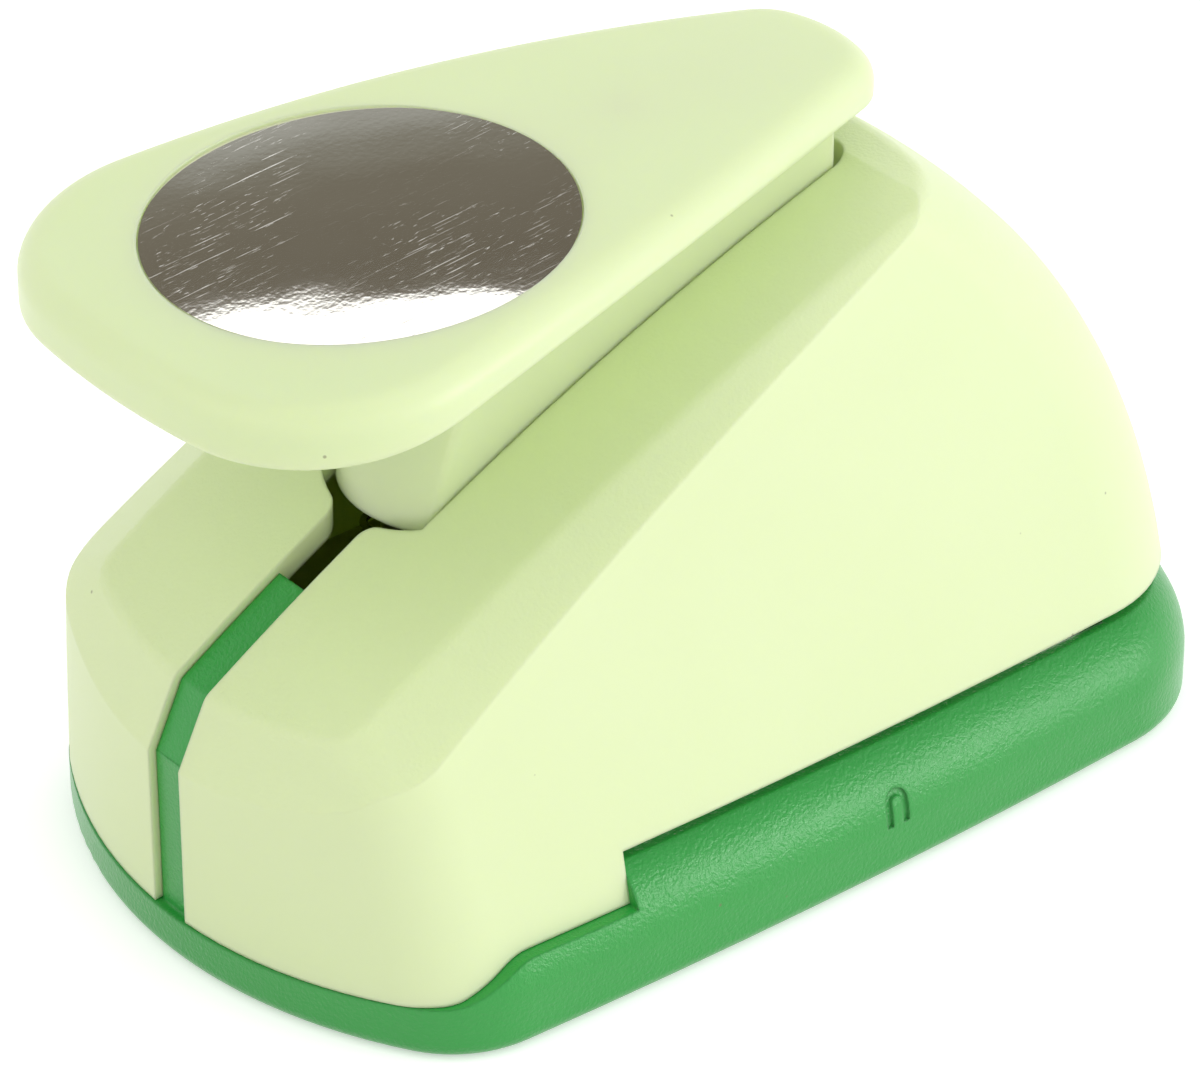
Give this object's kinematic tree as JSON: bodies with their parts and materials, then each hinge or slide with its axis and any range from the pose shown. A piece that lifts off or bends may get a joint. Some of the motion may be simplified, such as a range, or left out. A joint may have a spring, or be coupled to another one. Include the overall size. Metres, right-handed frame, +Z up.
{
  "type": "circle punch",
  "caption": "Lever paper punch that cuts a round disc: rounded base, thin throat for paper, sloping housing and a wide paddle lever hinged at the tall end.",
  "frame": {"origin": "middle of the whole punch's footprint, on the surface that it stands on", "axes": "+X from the low end to the tall end where the lever is hinged, +Y to the left side, +Z up"},
  "size_m": [0.1115, 0.0636, 0.0683],
  "materials": {
    "green_plastic": "satin moulded",
    "pale_plastic": "satin moulded",
    "core_plastic": "matt",
    "mirror_foil": "mirror film",
    "ground_steel": "ground",
    "plated_steel": "bright zinc"
  },
  "bodies": {
    "frame": {"base": "green_plastic", "bottom_cover": "green_plastic", "cover_screws": "plated_steel", "die_plate": "ground_steel", "die_screws": "plated_steel", "throat_spacer": "core_plastic", "guide_plate": "ground_steel", "guide_pins": "ground_steel", "return_spring_1": "plated_steel", "return_spring_2": "plated_steel", "return_spring_3": "plated_steel", "return_spring_4": "plated_steel", "housing": "pale_plastic", "housing_screws": "plated_steel", "frame_screws": "plated_steel", "pivot_pin": "ground_steel", "pin_clip_left": "plated_steel", "pin_clip_right": "plated_steel", "pin_washer_left": "plated_steel", "pin_washer_right": "plated_steel"},
    "lever": {"paddle": "pale_plastic", "lever_core": "core_plastic", "paddle_screws": "plated_steel", "press_pin": "ground_steel", "foil_disc": "mirror_foil"},
    "punch_slide_body": {"punch": "ground_steel", "punch_carriage": "ground_steel", "carriage_screws": "plated_steel", "wear_plate": "ground_steel"}
  },
  "joints": [
    {"name": "lever_press", "type": "hinge", "parent": "frame", "child": "lever", "pos_m": [0.03775, 0, 0.0225], "axis": [0, -1, 0], "range_deg": [0, 12], "stiffness_Nm_per_rad": 1.8, "springref_deg": -8.02},
    {"name": "punch_slide", "type": "slide", "parent": "frame", "child": "punch_slide_body", "axis": [0, 0, -1], "range_m": [0, 0.0064], "deforming": ["return_spring_1", "return_spring_2", "return_spring_3", "return_spring_4"]}
  ],
  "couplings": [
    {"joint": "punch_slide", "follows": "lever_press", "m_per_rad": 0.0304}
  ]
}
